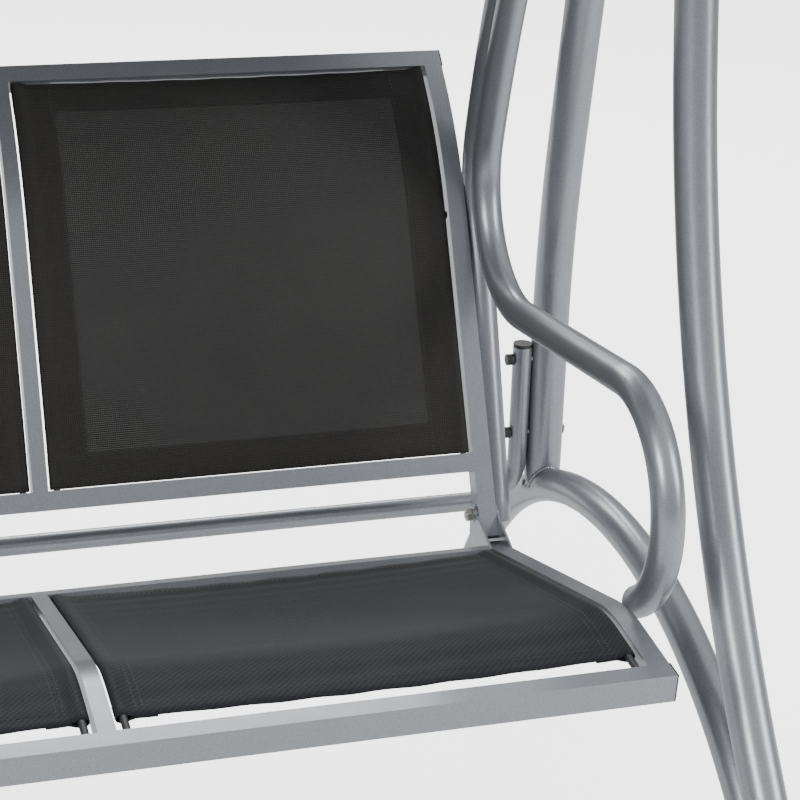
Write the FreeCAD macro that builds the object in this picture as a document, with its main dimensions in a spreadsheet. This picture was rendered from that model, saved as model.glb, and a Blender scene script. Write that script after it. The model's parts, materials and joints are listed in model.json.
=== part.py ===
import FreeCAD, Part
import Sketcher
import math
import os
from FreeCAD import Placement, Rotation, Vector

# Canopy swing bench: a steel stand, a seat and back of stretched slings that hangs from two
# springs, and a tilting canopy. Millimetres. The origin is on the floor midway between the feet;
# +X is the sitter's left, +Y is behind the bench and +Z is up. Y is negative at the front.

SIZES = {
    # stand
    "stand_gap": 110, "leg_diameter": 42, "leg_wall": 1.2,
    "front_lean": 8, "front_straight": 397, "front_arc_radius": 1344, "front_foot_lean": 38.3,
    "rear_lean": 9.8, "rear_bend_radius": 1300, "rear_leg_y": 284,
    "bow_y": 87, "bow_centre_height": 1320, "bow_radius": 80, "bow_seam_length": 90,
    "arch_diameter": 38, "arch_wall": 1.2, "arch_radius": 525, "arch_apex": 391, "arch_y": 56,
    "arch_front_slope": 41.5,
    "socket_top": 420, "high_bolt_height": 500, "low_bolt_height": 410, "spigot_overlap": 45,
    "sleeve_wall": 1.5, "sleeve_gap": 0.2,
    "stretcher_diameter": 22, "stretcher_wall": 1.2, "stretcher_height": 327,
    "stretcher_bend": 50, "stretcher_top": 515,
    "crossbar_diameter": 42, "crossbar_wall": 1.5,
    "foot_cap_wall": 3, "foot_cap_sole": 5, "foot_cap_length": 76,
    # suspension
    "eye_thickness": 5, "eye_hole": 10, "eye_drop": 18, "eye_rim": 8,
    "spring_wire": 5, "hook_radius": 11, "hook_shank": 8, "coil_diameter": 34, "coil_length": 90,
    # seat
    "seat_half_width": 751, "rail_width": 20, "front_rail_height": 28, "side_rail_height": 25,
    "seat_wall": 1.2, "back_wall": 1.2, "crest_y": -237.5, "crest_height": 450,
    "front_slope": 5.8, "rear_slope": 15.1, "front_run": 116, "rear_run": 352, "rail_overrun": 20, "crest_bend": 160,
    "seat_panel_pitch": 505, "back_panel_pitch": 490, "divider_width": 16, "divider_height": 20,
    # back
    "back_foot_y": 138.5, "back_foot_height": 395, "back_lean": 25.4, "back_straight": 319,
    "back_bend_radius": 420, "back_top_lean": 47.4, "back_tip": 34, "back_depth": 22,
    "back_tail": 39, "back_bottom_rise": 33, "back_rail_height": 20,
    # slings
    "rod_diameter": 7, "rod_gap": 6, "sling_thickness": 2, "sling_clearance": 0.4,
    "sling_front_gap": 24, "sling_rEAR_GAP": 4, "back_sling_gap": 5,
    # arms and hangers
    "arm_diameter": 32, "arm_wall": 1.2, "arm_front_radius": 107, "arm_back_radius": 124,
    "arm_weld_angle": 240, "arm_front_y": -166.5, "arm_centre_height": 537, "arm_slope": 6.6,
    "arm_run": 278,
    "hanger_radius": 1500, "hanger_lean": 14.5, "hanger_arc": 440,
    "rear_hanger_bend": 190, "rear_hanger_foot_lean": 19.2,
    "rear_hanger_foot_height": 352,
    "bracket_thickness": 2.5, "bolt_diameter": 8, "screw_diameter": 6,
    # canopy
    "canopy_half_width": 820, "canopy_depth": 930, "canopy_pivot_rise": 75, "canopy_crest_rise": 40,
    "canopy_arc_radius": 1500, "canopy_tube": 20, "canopy_tube_wall": 1.0,
    "canopy_sheet": 2.5, "canopy_valance": 85, "canopy_sheet_gap": 0.5,
    "lug_thickness": 5, "lug_width": 36, "knob_diameter": 44, "knob_depth": 24,
    # stand legs stand clear of the seat's sides
    "leg_plane": "=seat_half_width + stand_gap",
}

doc = FreeCAD.newDocument("canopy_swing_bench")
sheet = doc.addObject("Spreadsheet::Sheet", "Sizes")
for row, (alias, value) in enumerate(SIZES.items(), start=1):
    sheet.set(f"A{row}", alias)
    sheet.set(f"B{row}", str(value))
    sheet.setAlias(f"B{row}", alias)
doc.recompute()


class Size:
    """The sheet's values by name, read from its cells."""
    def __getattr__(self, alias):
        return float(sheet.get(alias))


size = Size()
nodes = {}


def deg_sin(angle):
    return math.sin(math.radians(angle))


def deg_cos(angle):
    return math.cos(math.radians(angle))


def deg_tan(angle):
    return math.tan(math.radians(angle))


def keep(label, feature):
    """Registers a finished sub-part under its node name."""
    feature.Label = label
    nodes[label] = feature
    return feature


def plane_of(body, role):
    return next(f for f in body.Origin.OriginFeatures if f.Role == role)


# ---------------------------------------------------------------- sketches and features

def new_body(name):
    return doc.addObject("PartDesign::Body", name)


def new_sketch(body, name, role, offset=None):
    """A sketch on one of the body's own origin planes, moved by an attachment offset."""
    sketch = body.newObject("Sketcher::SketchObject", name)
    sketch.AttachmentSupport = [(plane_of(body, role), "")]
    sketch.MapMode = "FlatFace"
    if offset is not None:
        sketch.AttachmentOffset = offset
    return sketch


class Trail:
    """A flat path of straight runs and tangent arcs; heading in degrees from the first axis."""
    def __init__(self, start, heading):
        self.start = start
        self.at = start
        self.first_heading = heading
        self.heading = heading
        self.pieces = []

    def line(self, length):
        u, v = self.at
        end = (u + length * deg_cos(self.heading), v + length * deg_sin(self.heading))
        self.pieces.append(("line", self.at, end, None))
        self.at = end
        return self

    def arc(self, radius, turn):
        """Turns left for a positive angle and right for a negative one."""
        side = 1 if turn > 0 else -1
        u, v = self.at
        centre = (u - side * radius * deg_sin(self.heading), v + side * radius * deg_cos(self.heading))

        def on_arc(angle):
            spoke = self.heading - side * 90 + angle
            return (centre[0] + radius * deg_cos(spoke), centre[1] + radius * deg_sin(spoke))

        end = on_arc(turn)
        self.pieces.append(("arc", self.at, end, on_arc(turn / 2)))
        self.at = end
        self.heading += turn
        return self

    def edges(self):
        """Sketch geometry of the trail, in the sketch's own plane."""
        out = []
        for kind, a, b, middle in self.pieces:
            if kind == "line":
                out.append(Part.LineSegment(Vector(*a, 0), Vector(*b, 0)))
            else:
                out.append(Part.Arc(Vector(*a, 0), Vector(*middle, 0), Vector(*b, 0)))
        return out


# The two sketch planes that paths lie in: role, first axis, second axis and normal.
SIDE_PLANE = ("YZ_Plane", Vector(0, 1, 0), Vector(0, 0, 1), Vector(1, 0, 0))
FRONT_PLANE = ("XZ_Plane", Vector(1, 0, 0), Vector(0, 0, 1), Vector(0, -1, 0))


def add_circle(sketch, diameter):
    """A circle about the sketch's origin, its diameter bound to the sheet."""
    circle = sketch.addGeometry(Part.Circle(Vector(0, 0, 0), Vector(0, 0, 1), 10))
    sketch.addConstraint(Sketcher.Constraint("Coincident", circle, 3, -1, 1))
    across = sketch.addConstraint(Sketcher.Constraint("Diameter", circle, 20))
    sketch.setExpression(f"Constraints[{across}]", diameter)


def add_box(sketch, width, height):
    """A rectangle centred on the sketch's origin, its sides bound to the sheet."""
    corners = [Vector(-5, -5, 0), Vector(5, -5, 0), Vector(5, 5, 0), Vector(-5, 5, 0)]
    first = sketch.GeometryCount
    for k in range(4):
        sketch.addGeometry(Part.LineSegment(corners[k], corners[(k + 1) % 4]))
    for k in range(4):
        sketch.addConstraint(Sketcher.Constraint("Coincident", first + k, 2, first + (k + 1) % 4, 1))
    sketch.addConstraint(Sketcher.Constraint("Horizontal", first))
    sketch.addConstraint(Sketcher.Constraint("Vertical", first + 1))
    sketch.addConstraint(Sketcher.Constraint("Symmetric", first, 1, first + 1, 2, -1, 1))
    sketch.addConstraint(Sketcher.Constraint("Symmetric", first, 2, first + 2, 2, -1, 1))
    for kind, line, text in (("DistanceX", first, width), ("DistanceY", first + 1, height)):
        index = sketch.addConstraint(Sketcher.Constraint(kind, line, 1, line, 2, 10))
        sketch.setExpression(f"Constraints[{index}]", text)


def swept_body(name, plane, offset, trail, add_section):
    """A body swept along a trail in a plane that stands off its origin plane by an expression."""
    role, first, second, normal = plane
    body = new_body(name)
    spine = new_sketch(body, name + "_path", role)
    spine.setExpression("AttachmentOffset.Base.z", offset)
    for edge in trail.edges():
        spine.addGeometry(edge)
    doc.recompute()
    start = spine.Placement.multVec(Vector(*trail.start, 0))
    along = first * deg_cos(trail.first_heading) + second * deg_sin(trail.first_heading)
    turn = Rotation(normal, along.cross(normal), along, "ZXY")
    section = new_sketch(body, name + "_section", "XY_Plane", Placement(start, turn))
    add_section(section)
    pipe = body.newObject("PartDesign::AdditivePipe", name + "_pipe")
    pipe.Profile = section
    pipe.Spine = (spine, [])
    body.Tip = pipe
    return body


def tube(name, plane, offset, trail, diameter, wall):
    """A round tube along a trail."""
    def section(sketch):
        add_circle(sketch, diameter)
        add_circle(sketch, f"{diameter} - 2 * {wall}")
    return swept_body(name, plane, offset, trail, section)


def rod(name, plane, offset, trail, diameter):
    """A solid round bar along a trail, also used as the space that a tube fills."""
    return swept_body(name, plane, offset, trail, lambda sketch: add_circle(sketch, diameter))


def box_tube(name, plane, offset, trail, width, height, wall):
    """A rectangular tube along a trail; width is across the trail's plane."""
    def section(sketch):
        add_box(sketch, width, height)
        add_box(sketch, f"{width} - 2 * {wall}", f"{height} - 2 * {wall}")
    return swept_body(name, plane, offset, trail, section)


def flat_bar(name, plane, offset, trail, width, height):
    """A solid rectangular section along a trail."""
    return swept_body(name, plane, offset, trail, lambda sketch: add_box(sketch, width, height))


def outline_body(name, role, offset, length, geometry):
    """A pad of a closed outline from an offset plane, both given as expressions."""
    body = new_body(name)
    sketch = new_sketch(body, name + "_outline", role)
    sketch.setExpression("AttachmentOffset.Base.z", offset)
    for piece in geometry:
        sketch.addGeometry(piece)
    pad = body.newObject("PartDesign::Pad", name + "_pad")
    pad.Profile = sketch
    pad.setExpression("Length", length)
    body.Tip = pad
    return body


def cylinder(name, diameter, length, at, axis=Vector(1, 0, 0)):
    """A cylinder that starts at a point and runs along an axis."""
    piece = doc.addObject("Part::Cylinder", name)
    piece.setExpression("Radius", f"({diameter}) / 2")
    piece.setExpression("Height", length)
    piece.Placement = Placement(at, Rotation(Vector(0, 0, 1), axis))
    return piece


def cut(name, base, *tools):
    """Base less the tools, one after another."""
    for number, tool in enumerate(tools):
        result = doc.addObject("Part::Cut", f"{name}_cut{number}")
        result.Base = base
        result.Tool = tool
        base = result
    return base


def fuse(name, *pieces):
    result = doc.addObject("Part::MultiFuse", name)
    result.Shapes = list(pieces)
    return result


def group(name, pieces):
    """Separate solids that share one node."""
    result = doc.addObject("Part::Compound", name)
    result.Links = list(pieces)
    return result


def polygon(points):
    """Closed outline of straight lines through points."""
    ends = points[1:] + points[:1]
    return [Part.LineSegment(Vector(*a, 0), Vector(*b, 0)) for a, b in zip(points, ends)]


def step(point, heading, length):
    """The point a length away from another along a heading, in a plane."""
    return (point[0] + length * deg_cos(heading), point[1] + length * deg_sin(heading))


def through_hole(name, y, height, diameter, x_low, x_high):
    """Space for a bolt along X."""
    return cylinder(name, diameter, f"{x_high - x_low}", Vector(x_low, y, height))


SIDES = (("right", 1), ("left", -1))
BOLT_PLAY = 0.4
EAR_GAP = 0.2

# ---------------------------------------------------------------- stand: derived places

bow_turn = 180 - size.front_lean - size.rear_lean
bow_front = step((size.bow_y, size.bow_centre_height), 180 - size.front_lean, size.bow_radius)
bow_rear = step((size.bow_y, size.bow_centre_height), size.rear_lean, size.bow_radius)
front_seam = step(bow_front, 270 - size.front_lean, size.bow_seam_length)
rear_seam = step(bow_rear, 270 + size.rear_lean, size.bow_seam_length)
bow_apex = size.bow_centre_height + size.bow_radius

bow_trail = Trail(front_seam, 90 - size.front_lean)
bow_trail.line(size.bow_seam_length).arc(size.bow_radius, -bow_turn).line(size.bow_seam_length)

front_trail = Trail(front_seam, 270 - size.front_lean)
front_trail.line(size.front_straight - size.bow_seam_length)
front_trail.arc(size.front_arc_radius, size.front_lean - size.front_foot_lean)
foot_overrun = size.leg_diameter
front_trail.line(front_trail.at[1] / deg_cos(size.front_foot_lean) + foot_overrun)
front_foot_y = front_trail.at[0] + foot_overrun * deg_sin(size.front_foot_lean)

rear_drop = size.rear_leg_y - rear_seam[0] - size.rear_bend_radius * (1 - deg_cos(size.rear_lean))
rear_trail = Trail(rear_seam, 270 + size.rear_lean)
rear_trail.line(rear_drop / deg_sin(size.rear_lean))
rear_trail.arc(size.rear_bend_radius, -size.rear_lean)
rear_trail.line(rear_trail.at[1] - size.socket_top)

arch_centre = (size.arch_y, size.arch_apex - size.arch_radius)
arch_start = math.degrees(math.asin((-size.arch_diameter - arch_centre[1]) / size.arch_radius))
arch_trail = Trail(step(arch_centre, arch_start, size.arch_radius), 90 + arch_start)
arch_trail.arc(size.arch_radius, 90 - arch_start + size.arch_front_slope)
rear_foot_angle = math.degrees(math.asin(-arch_centre[1] / size.arch_radius))
cap_turn = rear_foot_angle - arch_start + math.degrees(size.foot_cap_length / size.arch_radius)
rear_cap_trail = Trail(arch_trail.start, 90 + arch_start).arc(size.arch_radius, cap_turn)
front_cap_trail = Trail(front_trail.at, 90 - size.front_foot_lean)
front_cap_trail.line(foot_overrun + size.foot_cap_length)
# The arch runs on straight until its centreline meets the front leg's.
leg_lean = size.front_foot_lean
arch_y, arch_z = arch_trail.at
behind_leg = (arch_y - front_foot_y) * deg_cos(leg_lean) + arch_z * -deg_sin(leg_lean)
closing = 90 - leg_lean - size.arch_front_slope
arch_trail.line(behind_leg / deg_sin(closing))

arch_height_at_leg = arch_centre[1] + math.sqrt(
    size.arch_radius ** 2 - (size.rear_leg_y - size.arch_y) ** 2)
stretcher_plane = size.leg_plane - (size.leg_diameter + size.stretcher_diameter) / 2 - 0.2
below_floor = 200

# ---------------------------------------------------------------- stand

floor_box = doc.addObject("Part::Box", "floor_space")
floor_box.Length = 3 * size.leg_plane
floor_box.Width = 4 * size.arch_radius
floor_box.setExpression("Height", f"{below_floor} + Sizes.foot_cap_sole")
floor_box.Placement.Base = Vector(-1.5 * size.leg_plane, -2 * size.arch_radius, -below_floor)

ground_box = doc.addObject("Part::Box", "ground_space")
ground_box.Length = 3 * size.leg_plane
ground_box.Width = 4 * size.arch_radius
ground_box.Height = below_floor
ground_box.Placement.Base = floor_box.Placement.Base

bolt_hole = size.bolt_diameter + BOLT_PLAY
screw_hole = size.screw_diameter + BOLT_PLAY
tube_radius = size.leg_diameter / 2
screw_setback = size.spigot_overlap / 2
front_screw_bow = step(front_seam, 90 - size.front_lean, screw_setback)
front_screw_leg = step(front_seam, 270 - size.front_lean, screw_setback)
rear_screw_bow = step(rear_seam, 90 + size.rear_lean, screw_setback)
rear_screw_leg = step(rear_seam, 270 + size.rear_lean, screw_setback)

stretcher_trail = Trail((-stretcher_plane, size.stretcher_top), 270)
stretcher_rise = size.stretcher_top - size.stretcher_height - size.stretcher_bend
stretcher_trail.line(stretcher_rise).arc(size.stretcher_bend, 90)
stretcher_trail.line(2 * (stretcher_plane - size.stretcher_bend))
stretcher_trail.arc(size.stretcher_bend, 90).line(stretcher_rise)

sleeves = []
foot_caps = []
joint_bolts = []
cap_nuts = []
joint_screws = []
stretcher_holes = []
crossbar_bolts = []
crossbar_nuts = []


def dome_bolt(name, diameter, at, axis, length, head):
    """Shank and domed head; the head sits at the start point, the shank runs along the axis."""
    shank = cylinder(name + "_shank", diameter, f"{length}", at, axis)
    radius = head / 2
    height = 0.55 * radius
    ball_radius = (radius ** 2 + height ** 2) / (2 * height)
    dome = doc.addObject("Part::Sphere", name + "_dome")
    dome.Radius = ball_radius
    dome.Angle1 = math.degrees(math.asin((ball_radius - height) / ball_radius))
    dome.Placement = Placement(at + axis * (ball_radius - height),
                               Rotation(Vector(0, 0, -1), axis))
    return fuse(name, shank, dome)


def foot_cap(name, plane, trail, diameter, tube_space):
    """A rubber boot that follows a tube's end, flat on the floor."""
    shell = rod(name + "_shell", SIDE_PLANE, plane, trail,
                f"{diameter} + 2 * Sizes.foot_cap_wall")
    return cut(name, shell, ground_box, cut(name + "_cavity", tube_space, floor_box))


for side_name, side in SIDES:
    plane = f"{side} * Sizes.leg_plane"
    x = side * size.leg_plane
    inner_x = x - side * (tube_radius + 40)
    outer_x = x + side * (tube_radius + 10)
    low_x, high_x = sorted((inner_x, outer_x))

    def hole(tag, point, diameter):
        name = f"{side_name}_{tag}_hole"
        return through_hole(name, point[0], point[1], diameter, low_x, high_x)

    screws = {tag: hole(tag, point, screw_hole) for tag, point in (
        ("front_bow", front_screw_bow), ("front_leg", front_screw_leg),
        ("rear_bow", rear_screw_bow), ("rear_leg", rear_screw_leg))}
    high_bolt = hole("high_bolt", (size.rear_leg_y, size.high_bolt_height), bolt_hole)
    low_bolt = hole("low_bolt", (size.rear_leg_y, size.low_bolt_height), bolt_hole)
    cross_bolt = hole("cross_bolt", (size.bow_y, bow_apex), bolt_hole)
    stretcher_holes += [high_bolt, low_bolt]

    leg_sizes = ("Sizes.leg_diameter", "Sizes.leg_wall")
    front = tube(f"{side_name}_front_tube", SIDE_PLANE, plane, front_trail, *leg_sizes)
    keep(f"{side_name}_front_leg",
         cut(f"{side_name}_front_leg", front, floor_box, screws["front_leg"]))
    rear = tube(f"{side_name}_rear_tube", SIDE_PLANE, plane, rear_trail, *leg_sizes)
    keep(f"{side_name}_rear_leg",
         cut(f"{side_name}_rear_leg", rear, screws["rear_leg"], high_bolt))
    bow = tube(f"{side_name}_bow_tube", SIDE_PLANE, plane, bow_trail, *leg_sizes)
    keep(f"{side_name}_top_bow", cut(
        f"{side_name}_top_bow", bow, screws["front_bow"], screws["rear_bow"], cross_bolt))

    leg_space = rod(f"{side_name}_leg_space", SIDE_PLANE, plane, front_trail, "Sizes.leg_diameter")
    arch = tube(f"{side_name}_arch_tube", SIDE_PLANE, plane, arch_trail,
                "Sizes.arch_diameter", "Sizes.arch_wall")
    keep(f"{side_name}_base_arch", cut(f"{side_name}_base_arch", arch, floor_box, leg_space))

    arch_space = rod(f"{side_name}_arch_space", SIDE_PLANE, plane, arch_trail,
                     "Sizes.arch_diameter")
    socket_trail = Trail((size.rear_leg_y, size.socket_top), 270)
    socket_trail.line(size.socket_top - arch_height_at_leg - size.arch_diameter / 4)
    socket = tube(f"{side_name}_socket_tube", SIDE_PLANE, plane, socket_trail, *leg_sizes)
    keep(f"{side_name}_rear_socket",
         cut(f"{side_name}_rear_socket", socket, arch_space, low_bolt))

    sleeve_outer = "Sizes.leg_diameter - 2 * Sizes.leg_wall - 2 * Sizes.sleeve_gap"
    seams = (("front", front_seam, 270 - size.front_lean, size.spigot_overlap,
              (screws["front_bow"], screws["front_leg"])),
             ("rear", rear_seam, 270 + size.rear_lean, size.spigot_overlap,
              (screws["rear_bow"], screws["rear_leg"])),
             ("socket", (size.rear_leg_y, size.socket_top), 270, size.high_bolt_height
              - size.socket_top + screw_setback, (high_bolt, low_bolt)))
    for tag, seam, heading, above, holes in seams:
        name = f"{side_name}_{tag}_sleeve"
        below = min(size.spigot_overlap, size.socket_top - arch_height_at_leg
                    - size.arch_diameter / 2 - 4) if tag == "socket" else size.spigot_overlap
        trail = Trail(step(seam, heading + 180, above), heading).line(above + below)
        sleeves.append(cut(name, tube(name + "_tube", SIDE_PLANE, plane, trail, sleeve_outer,
                                      "Sizes.sleeve_wall"), *holes))

    foot_caps.append(foot_cap(f"{side_name}_front_cap", plane, front_cap_trail,
                              "Sizes.leg_diameter", leg_space))
    foot_caps.append(foot_cap(f"{side_name}_rear_cap", plane, rear_cap_trail,
                              "Sizes.arch_diameter", arch_space))

    inward = Vector(-side, 0, 0)
    face_x = x + side * tube_radius
    far_x = stretcher_plane - size.stretcher_diameter / 2
    grip = abs(face_x) - far_x
    nut_depth = 8
    for tag, height in (("high", size.high_bolt_height), ("low", size.low_bolt_height)):
        name = f"{side_name}_{tag}_bolt"
        at = Vector(face_x, size.rear_leg_y, height)
        joint_bolts.append(dome_bolt(name, "Sizes.bolt_diameter", at, inward, grip + 4, 14))
        nut_at = Vector(side * far_x, size.rear_leg_y, height)
        body = cylinder(name + "_nut_body", "13", f"{nut_depth}", nut_at, inward)
        bore = cylinder(name + "_nut_bore", "Sizes.bolt_diameter + 0.1", "5", nut_at, inward)
        cap_nuts.append(cut(name + "_nut", body, bore))
    for tag, point in (("front_bow", front_screw_bow), ("front_leg", front_screw_leg),
                       ("rear_bow", rear_screw_bow), ("rear_leg", rear_screw_leg)):
        at = Vector(face_x, point[0], point[1])
        joint_screws.append(dome_bolt(f"{side_name}_{tag}_screw", "Sizes.screw_diameter", at,
                                      inward, size.leg_diameter + 2, 11))
    cross_at = Vector(face_x, size.bow_y, bow_apex)
    crossbar_bolts.append(dome_bolt(f"{side_name}_crossbar_bolt", "Sizes.bolt_diameter", cross_at,
                                    inward, size.leg_diameter + 32, 15))
    nut_at = cross_at + inward * (size.leg_diameter + 22)
    disc = cylinder(f"{side_name}_weld_disc", "Sizes.crossbar_diameter - 2 * Sizes.crossbar_wall",
                    "6", nut_at, inward)
    disc_bore = cylinder(f"{side_name}_weld_bore", "Sizes.bolt_diameter + 0.1", "8", nut_at, inward)
    crossbar_nuts.append(cut(f"{side_name}_crossbar_nut", disc, disc_bore))

keep("leg_joint_sleeves", group("leg_joint_sleeves", sleeves))
keep("foot_caps", group("foot_caps", foot_caps))
keep("stretcher_cap_nuts", group("stretcher_cap_nuts", cap_nuts))
keep("stand_bolts", group("stand_bolts", joint_bolts + joint_screws + crossbar_bolts))
keep("crossbar_weld_nuts", group("crossbar_weld_nuts", crossbar_nuts))

stretcher = tube("stretcher_tube", FRONT_PLANE, "-Sizes.rear_leg_y", stretcher_trail,
                 "Sizes.stretcher_diameter", "Sizes.stretcher_wall")
keep("rear_stretcher", cut("rear_stretcher", stretcher, *stretcher_holes))
stretcher_caps = []
for side_name, side in SIDES:
    at = Vector(side * stretcher_plane, size.rear_leg_y, size.stretcher_top)
    stretcher_caps.append(cylinder(f"{side_name}_stretcher_cap", "Sizes.stretcher_diameter", "4",
                                   at, Vector(0, 0, 1)))
keep("stretcher_end_caps", group("stretcher_end_caps", stretcher_caps))

bow_spaces = [rod(f"{side_name}_bow_space", SIDE_PLANE, f"{side} * Sizes.leg_plane", bow_trail,
                  "Sizes.leg_diameter") for side_name, side in SIDES]
bar_at = Vector(-size.leg_plane, size.bow_y, bow_apex)
bar_outer = cylinder("crossbar_outer", "Sizes.crossbar_diameter", "2 * Sizes.leg_plane", bar_at)
bar_inner = cylinder("crossbar_inner", "Sizes.crossbar_diameter - 2 * Sizes.crossbar_wall",
                     "2 * Sizes.leg_plane", bar_at)
keep("top_crossbar", cut("top_crossbar", bar_outer, bar_inner, *bow_spaces))

# ---------------------------------------------------------------- hanging bench: derived places

hanger_plane = size.seat_half_width + size.arm_diameter / 2
arm_heading = -size.arm_slope
arm_bend_up = 90 + size.hanger_lean
hanger_turn = math.degrees(size.hanger_arc / size.hanger_radius)
weld_angle = size.arm_weld_angle
arm_centre = (size.arm_front_y, size.arm_centre_height)
arm_trail = Trail(step(arm_centre, weld_angle, size.arm_front_radius), weld_angle - 90)
arm_trail.arc(size.arm_front_radius, arm_heading - weld_angle + 90)
arm_trail.line(size.arm_run)
arm_trail.arc(size.arm_back_radius, arm_bend_up - arm_heading)
arm_knee = arm_trail.at
arm_trail.arc(size.hanger_radius, hanger_turn)
hanger_top = arm_trail.at
top_heading = arm_trail.heading
hanger_pitch = size.arm_diameter + 0.3

rear_top = step(hanger_top, top_heading - 90, hanger_pitch)
rear_trail_start = Trail(rear_top, top_heading + 180)
rear_trail_start.arc(size.hanger_radius + hanger_pitch, -hanger_turn)
rear_trail_start.arc(size.rear_hanger_bend, -(size.hanger_lean + size.rear_hanger_foot_lean))
rear_trail_start.line((rear_trail_start.at[1] - size.rear_hanger_foot_height)
                      / deg_cos(size.rear_hanger_foot_lean))

eye_height = bow_apex - size.crossbar_diameter / 2 - size.eye_drop
coil_top = eye_height - 2 * size.hook_radius - size.hook_shank
coil_foot = coil_top - size.coil_length
lower_eye_height = coil_foot - size.hook_shank - 2 * size.hook_radius

crest = (size.crest_y, size.crest_height)
crest_turn = size.front_slope + size.rear_slope


def seat_trail(depth, behind, ahead):
    """A path at a depth under the seat's top line, from behind the crest to ahead of it."""
    heading = 180 - size.rear_slope
    reach = size.crest_bend * deg_tan(crest_turn / 2)
    start = step(step(crest, heading + 180, behind), heading + 90, depth)
    trail = Trail(start, heading)
    trail.line(behind - reach).arc(size.crest_bend - depth, crest_turn)
    return trail.line(ahead - reach)


back_foot = (size.back_foot_y, size.back_foot_height)
back_bend = size.back_top_lean - size.back_lean
back_arc_length = math.radians(back_bend) * size.back_bend_radius
back_length = size.back_straight + back_arc_length + size.back_tip


def back_trail(depth, low, high):
    """A path at a depth behind the back's front line, between two distances along that line."""
    heading = 90 - size.back_lean
    start = step(step(back_foot, heading, low), heading - 90, depth)
    trail = Trail(start, heading)
    trail.line(size.back_straight - low)
    trail.arc(size.back_bend_radius - depth, -back_bend)
    return trail.line(size.back_tip - (back_length - high))


def slab(start, heading, along, across):
    """A rectangle from a corner: along a heading, then across to its right."""
    second = step(start, heading, along)
    third = step(second, heading - 90, across)
    fourth = step(start, heading - 90, across)
    return [start, second, third, fourth]


def shrink(start, heading, along, across, wall):
    corner = step(step(start, heading, wall), heading - 90, wall)
    return slab(corner, heading, along - 2 * wall, across - 2 * wall)


def cross_tube(name, half_width, start, heading, along, across, wall):
    """A rectangular tube along X with its section at an angle."""
    walls = polygon(slab(start, heading, along, across))
    walls += polygon(shrink(start, heading, along, across, wall))
    return outline_body(name, "YZ_Plane", f"-({half_width})", f"2 * ({half_width})", walls)


# ---------------------------------------------------------------- crossbar eyes and springs

bar_space = cylinder("crossbar_space", "Sizes.crossbar_diameter", "2 * Sizes.leg_plane", bar_at)


def eye_outline(y, height, root_height, rim, hole, root_width):
    """A tongue with a round end about a hole at (y, height)."""
    sign = 1 if root_height > height else -1
    left, right = Vector(y - rim, height, 0), Vector(y + rim, height, 0)
    tip = Vector(y, height - sign * rim, 0)
    root_left = Vector(y - root_width / 2, root_height, 0)
    root_right = Vector(y + root_width / 2, root_height, 0)
    return [Part.Arc(left, tip, right), Part.LineSegment(right, root_right),
            Part.LineSegment(root_right, root_left), Part.LineSegment(root_left, left),
            Part.Circle(Vector(y, height, 0), Vector(0, 0, 1), hole / 2)]


def hook(name, plane_x, ring_height, shank_from, up):
    """A closed wire ring across X with a straight shank towards the coil."""
    ring = doc.addObject("Part::Torus", name + "_ring")
    ring.setExpression("Radius1", "Sizes.hook_radius")
    ring.setExpression("Radius2", "Sizes.spring_wire / 2")
    ring.Placement = Placement(Vector(plane_x, size.bow_y, ring_height),
                               Rotation(Vector(0, 0, 1), Vector(0, 1, 0)))
    direction = Vector(0, 0, up)
    shank = cylinder(name + "_shank", "Sizes.spring_wire",
                     "Sizes.hook_shank + Sizes.spring_wire / 2",
                     Vector(plane_x, size.bow_y, shank_from), direction)
    collar = cylinder(name + "_collar", "Sizes.coil_diameter - 0.5", "Sizes.spring_wire / 2",
                      Vector(plane_x, size.bow_y, shank_from), direction)
    return fuse(name, ring, shank, collar)


crossbar_eyes = []
for side_name, side in SIDES:
    x = side * hanger_plane
    eye_plane = f"{side} * (Sizes.seat_half_width + Sizes.arm_diameter / 2) - Sizes.eye_thickness / 2"
    outline = eye_outline(size.bow_y, eye_height, bow_apex, size.eye_hole / 2 + size.eye_rim,
                          size.eye_hole, size.crossbar_diameter * 0.8)
    eye = outline_body(f"{side_name}_eye_plate", "YZ_Plane", eye_plane, "Sizes.eye_thickness", outline)
    crossbar_eyes.append(cut(f"{side_name}_crossbar_eye", eye, bar_space))

    keep(f"{side_name}_upper_hook", hook(f"{side_name}_upper_hook", x,
                                         eye_height - size.hook_radius, coil_top, 1))
    keep(f"{side_name}_lower_hook", hook(f"{side_name}_lower_hook", x,
                                         lower_eye_height + size.hook_radius, coil_foot, -1))
    coil_at = Vector(x, size.bow_y, coil_foot)
    coil = cylinder(f"{side_name}_coil", "Sizes.coil_diameter", "Sizes.coil_length", coil_at,
                    Vector(0, 0, 1))
    coil_bore = cylinder(f"{side_name}_coil_bore",
                         "Sizes.coil_diameter - 2 * Sizes.spring_wire", "Sizes.coil_length",
                         coil_at, Vector(0, 0, 1))
    keep(f"{side_name}_spring_coil", cut(f"{side_name}_spring_coil", coil, coil_bore))

keep("crossbar_eyes", group("crossbar_eyes", crossbar_eyes))

# ---------------------------------------------------------------- seat frame

half = "Sizes.seat_half_width"
forward = 180 + size.front_slope
backward = -size.rear_slope
front_corner = step(crest, forward, size.front_run)
keep("seat_front_rail", cross_tube("seat_front_tube", half, front_corner, forward + 180,
                                   size.rail_width, size.front_rail_height, size.seat_wall))
rear_corner = step(crest, backward, size.rear_run - size.rail_width)
inner_half = "Sizes.seat_half_width - Sizes.rail_width"
rear_half = f"{inner_half} - Sizes.bracket_thickness - {EAR_GAP}"
keep("seat_rear_rail", cross_tube("seat_rear_tube", rear_half, rear_corner, backward,
                                  size.rail_width, size.rail_width, size.seat_wall))

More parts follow.
